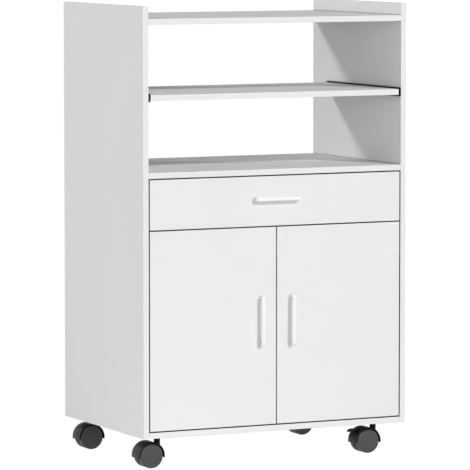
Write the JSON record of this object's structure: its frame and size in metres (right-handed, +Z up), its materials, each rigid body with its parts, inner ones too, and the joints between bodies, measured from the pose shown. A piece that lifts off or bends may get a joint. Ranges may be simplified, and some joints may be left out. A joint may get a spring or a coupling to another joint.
{
  "type": "microwave cart",
  "caption": "White board cart with open bays, a pull-out shelf, a drawer and two hinged doors, on twin-wheel swivel casters.",
  "frame": {"origin": "on the floor, under the middle of the whole cart, handles included", "axes": "+Z up, the doors and the drawer face -Y, +X to the right seen from the front"},
  "size_m": [0.6, 0.413, 0.94],
  "materials": {
    "white_board": "white melamine-faced particle board, fine satin",
    "hardboard": "white-lacquered thin hardboard",
    "handle_white": "white gloss coating",
    "channel_black": "black extruded plastic",
    "runner_white": "white powder coat on sheet steel",
    "roller_nylon": "natural nylon",
    "caster_hood": "near-black moulded nylon, semi-gloss",
    "caster_wheel": "dark grey moulded nylon, satin",
    "zinc_steel": "zinc-plated pressed steel"
  },
  "bodies": {
    "cabinet": {"left_side_panel": "white_board", "right_side_panel": "white_board", "top_shelf": "white_board", "deck_panel": "white_board", "bottom_panel": "white_board", "inner_shelf": "white_board", "cross_rail": "white_board", "back_panel": "hardboard", "shelf_channel_left": "channel_black", "shelf_channel_right": "channel_black", "cabinet_runner_left": "runner_white", "cabinet_runner_right": "runner_white", "hinge_arm_left_lower": "zinc_steel", "hinge_arm_left_upper": "zinc_steel", "hinge_arm_right_lower": "zinc_steel", "hinge_arm_right_upper": "zinc_steel", "hinge_mount_left_lower": "zinc_steel", "hinge_mount_left_upper": "zinc_steel", "hinge_mount_right_lower": "zinc_steel", "hinge_mount_right_upper": "zinc_steel", "caster_front_left_plate": "zinc_steel", "caster_front_right_plate": "zinc_steel", "caster_back_left_plate": "zinc_steel", "caster_back_right_plate": "zinc_steel"},
    "sliding_shelf": {"sliding_shelf": "white_board"},
    "drawer": {"drawer_front": "white_board", "drawer_side_left": "white_board", "drawer_side_right": "white_board", "drawer_back": "white_board", "drawer_bottom": "hardboard", "drawer_handle": "handle_white", "drawer_runner_left": "runner_white", "drawer_runner_right": "runner_white"},
    "left_door": {"left_door": "white_board", "left_door_handle": "handle_white", "hinge_cup_left_lower": "zinc_steel", "hinge_cup_left_upper": "zinc_steel"},
    "right_door": {"right_door": "white_board", "right_door_handle": "handle_white", "hinge_cup_right_lower": "zinc_steel", "hinge_cup_right_upper": "zinc_steel"},
    "roller_left_front": {"runner_roller_left_front": "roller_nylon"},
    "roller_left_back": {"runner_roller_left_back": "roller_nylon"},
    "roller_right_front": {"runner_roller_right_front": "roller_nylon"},
    "roller_right_back": {"runner_roller_right_back": "roller_nylon"},
    "caster_front_left": {"caster_front_left_fork": "caster_hood"},
    "caster_front_left_wheel_front": {"caster_front_left_wheel_front": "caster_wheel"},
    "caster_front_left_wheel_back": {"caster_front_left_wheel_back": "caster_wheel"},
    "caster_front_right": {"caster_front_right_fork": "caster_hood"},
    "caster_front_right_wheel_front": {"caster_front_right_wheel_front": "caster_wheel"},
    "caster_front_right_wheel_back": {"caster_front_right_wheel_back": "caster_wheel"},
    "brake_lever_front_right": {"brake_lever_front_right": "caster_hood"},
    "caster_back_left": {"caster_back_left_fork": "caster_hood"},
    "caster_back_left_wheel_front": {"caster_back_left_wheel_front": "caster_wheel"},
    "caster_back_left_wheel_back": {"caster_back_left_wheel_back": "caster_wheel"},
    "caster_back_right": {"caster_back_right_fork": "caster_hood"},
    "caster_back_right_wheel_front": {"caster_back_right_wheel_front": "caster_wheel"},
    "caster_back_right_wheel_back": {"caster_back_right_wheel_back": "caster_wheel"},
    "brake_lever_back_right": {"brake_lever_back_right": "caster_hood"}
  },
  "joints": [
    {"name": "shelf_slide", "type": "slide", "parent": "cabinet", "child": "sliding_shelf", "axis": [0, -1, 0], "range_m": [0, 0.2]},
    {"name": "drawer_slide", "type": "slide", "parent": "cabinet", "child": "drawer", "axis": [0, -1, 0], "range_m": [0, 0.23]},
    {"name": "left_door_hinge", "type": "hinge", "parent": "cabinet", "child": "left_door", "pos_m": [-0.2711, -0.1868, 0.28275], "axis": [0, 0, -1], "range_deg": [0, 95]},
    {"name": "right_door_hinge", "type": "hinge", "parent": "cabinet", "child": "right_door", "pos_m": [0.2711, -0.1868, 0.28275], "axis": [0, 0, 1], "range_deg": [0, 95]},
    {"name": "roller_left_front_turn", "type": "hinge", "parent": "cabinet", "child": "roller_left_front", "pos_m": [-0.28325, -0.1675, 0.51225], "axis": [1, 0, 0], "range_deg": [0, 1650]},
    {"name": "roller_left_back_turn", "type": "hinge", "parent": "drawer", "child": "roller_left_back", "pos_m": [-0.28005, 0.1545, 0.51225], "axis": [1, 0, 0], "range_deg": [0, 1650]},
    {"name": "roller_right_front_turn", "type": "hinge", "parent": "cabinet", "child": "roller_right_front", "pos_m": [0.28325, -0.1675, 0.51225], "axis": [1, 0, 0], "range_deg": [0, 1650]},
    {"name": "roller_right_back_turn", "type": "hinge", "parent": "drawer", "child": "roller_right_back", "pos_m": [0.28005, 0.1545, 0.51225], "axis": [1, 0, 0], "range_deg": [0, 1650]},
    {"name": "caster_front_left_swivel", "type": "hinge", "parent": "cabinet", "child": "caster_front_left", "pos_m": [-0.249, -0.1465, 0.055], "axis": [0, 0, 1], "continuous": true},
    {"name": "caster_front_left_wheel_front_roll", "type": "hinge", "parent": "caster_front_left", "child": "caster_front_left_wheel_front", "pos_m": [-0.2685, -0.1575, 0.025], "axis": [0, 1, 0], "continuous": true},
    {"name": "caster_front_left_wheel_back_roll", "type": "hinge", "parent": "caster_front_left", "child": "caster_front_left_wheel_back", "pos_m": [-0.2685, -0.1355, 0.025], "axis": [0, 1, 0], "continuous": true},
    {"name": "caster_front_right_swivel", "type": "hinge", "parent": "cabinet", "child": "caster_front_right", "pos_m": [0.249, -0.1465, 0.055], "axis": [0, 0, 1], "continuous": true},
    {"name": "caster_front_right_wheel_front_roll", "type": "hinge", "parent": "caster_front_right", "child": "caster_front_right_wheel_front", "pos_m": [0.2295, -0.1575, 0.025], "axis": [0, 1, 0], "continuous": true},
    {"name": "caster_front_right_wheel_back_roll", "type": "hinge", "parent": "caster_front_right", "child": "caster_front_right_wheel_back", "pos_m": [0.2295, -0.1355, 0.025], "axis": [0, 1, 0], "continuous": true},
    {"name": "brake_lever_front_right_press", "type": "hinge", "parent": "caster_front_right", "child": "brake_lever_front_right", "pos_m": [0.2233, -0.1465, 0.0419], "axis": [0, -1, 0], "range_deg": [0, 8]},
    {"name": "caster_back_left_swivel", "type": "hinge", "parent": "cabinet", "child": "caster_back_left", "pos_m": [-0.249, 0.1555, 0.055], "axis": [0, 0, 1], "continuous": true},
    {"name": "caster_back_left_wheel_front_roll", "type": "hinge", "parent": "caster_back_left", "child": "caster_back_left_wheel_front", "pos_m": [-0.2685, 0.1445, 0.025], "axis": [0, 1, 0], "continuous": true},
    {"name": "caster_back_left_wheel_back_roll", "type": "hinge", "parent": "caster_back_left", "child": "caster_back_left_wheel_back", "pos_m": [-0.2685, 0.1665, 0.025], "axis": [0, 1, 0], "continuous": true},
    {"name": "caster_back_right_swivel", "type": "hinge", "parent": "cabinet", "child": "caster_back_right", "pos_m": [0.249, 0.1555, 0.055], "axis": [0, 0, 1], "continuous": true},
    {"name": "caster_back_right_wheel_front_roll", "type": "hinge", "parent": "caster_back_right", "child": "caster_back_right_wheel_front", "pos_m": [0.2295, 0.1445, 0.025], "axis": [0, 1, 0], "continuous": true},
    {"name": "caster_back_right_wheel_back_roll", "type": "hinge", "parent": "caster_back_right", "child": "caster_back_right_wheel_back", "pos_m": [0.2295, 0.1665, 0.025], "axis": [0, 1, 0], "continuous": true},
    {"name": "brake_lever_back_right_press", "type": "hinge", "parent": "caster_back_right", "child": "brake_lever_back_right", "pos_m": [0.2233, 0.1555, 0.0419], "axis": [0, -1, 0], "range_deg": [0, 8]}
  ],
  "couplings": [
    {"joint": "roller_left_front_turn", "follows": "drawer_slide", "rad_per_m": 125},
    {"joint": "roller_left_back_turn", "follows": "drawer_slide", "rad_per_m": 125},
    {"joint": "roller_right_front_turn", "follows": "drawer_slide", "rad_per_m": 125},
    {"joint": "roller_right_back_turn", "follows": "drawer_slide", "rad_per_m": 125}
  ]
}
